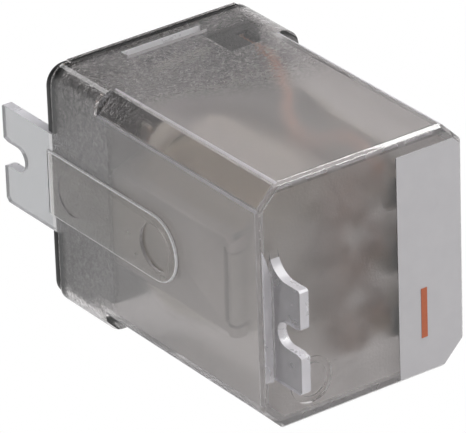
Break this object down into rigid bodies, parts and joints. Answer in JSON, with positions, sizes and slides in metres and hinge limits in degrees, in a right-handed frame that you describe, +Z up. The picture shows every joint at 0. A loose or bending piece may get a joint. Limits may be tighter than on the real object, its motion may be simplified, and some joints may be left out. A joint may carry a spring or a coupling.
{
  "type": "plug in power relay",
  "caption": "Flange-mount plug-in relay with a clear cover, a black base with flat blades, and a hinged armature that swings its contacts.",
  "frame": {"origin": "centre of the base's seating face, on the plug axis", "axes": "+Y out of the base along the blades, into the socket; +Z up; -X is the side with the mounting tabs"},
  "size_m": [0.0359, 0.0701, 0.0392],
  "materials": {
    "clear_polycarbonate": "clear moulded polycarbonate with a fine pebble texture",
    "black_phenolic": "black moulded phenolic",
    "tinned_brass": "tinned brass strip",
    "zinc_plated_steel": "bright zinc plate",
    "soft_iron": "plated soft iron",
    "copper": "bare copper",
    "enamelled_copper": "enamelled copper winding",
    "nylon": "natural nylon moulding",
    "coil_tape": "woven insulating tape",
    "glass_sleeving": "varnished braided sleeving",
    "laminate": "phenolic laminate",
    "phosphor_bronze": "rolled phosphor bronze strip",
    "contact_silver": "silver alloy buttons",
    "spring_steel": "drawn spring wire",
    "label_film": "bare pale film",
    "mark_ink": "printed orange bar"
  },
  "bodies": {
    "base": {"cover": "clear_polycarbonate", "base": "black_phenolic", "nc_terminal_1": "tinned_brass", "nc_terminal_2": "tinned_brass", "nc_terminal_3": "tinned_brass", "no_terminal_1": "tinned_brass", "no_terminal_2": "tinned_brass", "no_terminal_3": "tinned_brass", "common_terminal_1": "tinned_brass", "common_terminal_2": "tinned_brass", "common_terminal_3": "tinned_brass", "coil_terminal_1": "tinned_brass", "coil_terminal_2": "tinned_brass", "frame": "zinc_plated_steel", "frame_screws": "zinc_plated_steel", "core": "soft_iron", "shading_ring": "copper", "bobbin": "nylon", "coil_winding": "enamelled_copper", "coil_tape": "coil_tape", "coil_lead_1": "glass_sleeving", "coil_lead_2": "glass_sleeving", "hinge_pin": "zinc_plated_steel", "nc_contacts": "contact_silver", "no_contacts": "contact_silver", "pigtail_1": "copper", "pigtail_2": "copper", "pigtail_3": "copper", "return_spring": "spring_steel", "label": "label_film", "coil_mark": "mark_ink"},
    "armature": {"armature": "soft_iron", "contact_carrier": "laminate", "arm_clamp": "laminate", "carrier_rivets": "zinc_plated_steel", "moving_arm_1": "phosphor_bronze", "moving_arm_2": "phosphor_bronze", "moving_arm_3": "phosphor_bronze", "moving_contacts": "contact_silver"}
  },
  "joints": [
    {"name": "armature_hinge", "type": "hinge", "parent": "base", "child": "armature", "pos_m": [-0.0147, -0.0428, 0], "axis": [0, 0, 1], "range_deg": [0, 4], "stiffness_Nm_per_rad": 0.03, "springref_deg": -17.19, "deforming": ["return_spring", "pigtail_1", "pigtail_2", "pigtail_3"]}
  ]
}
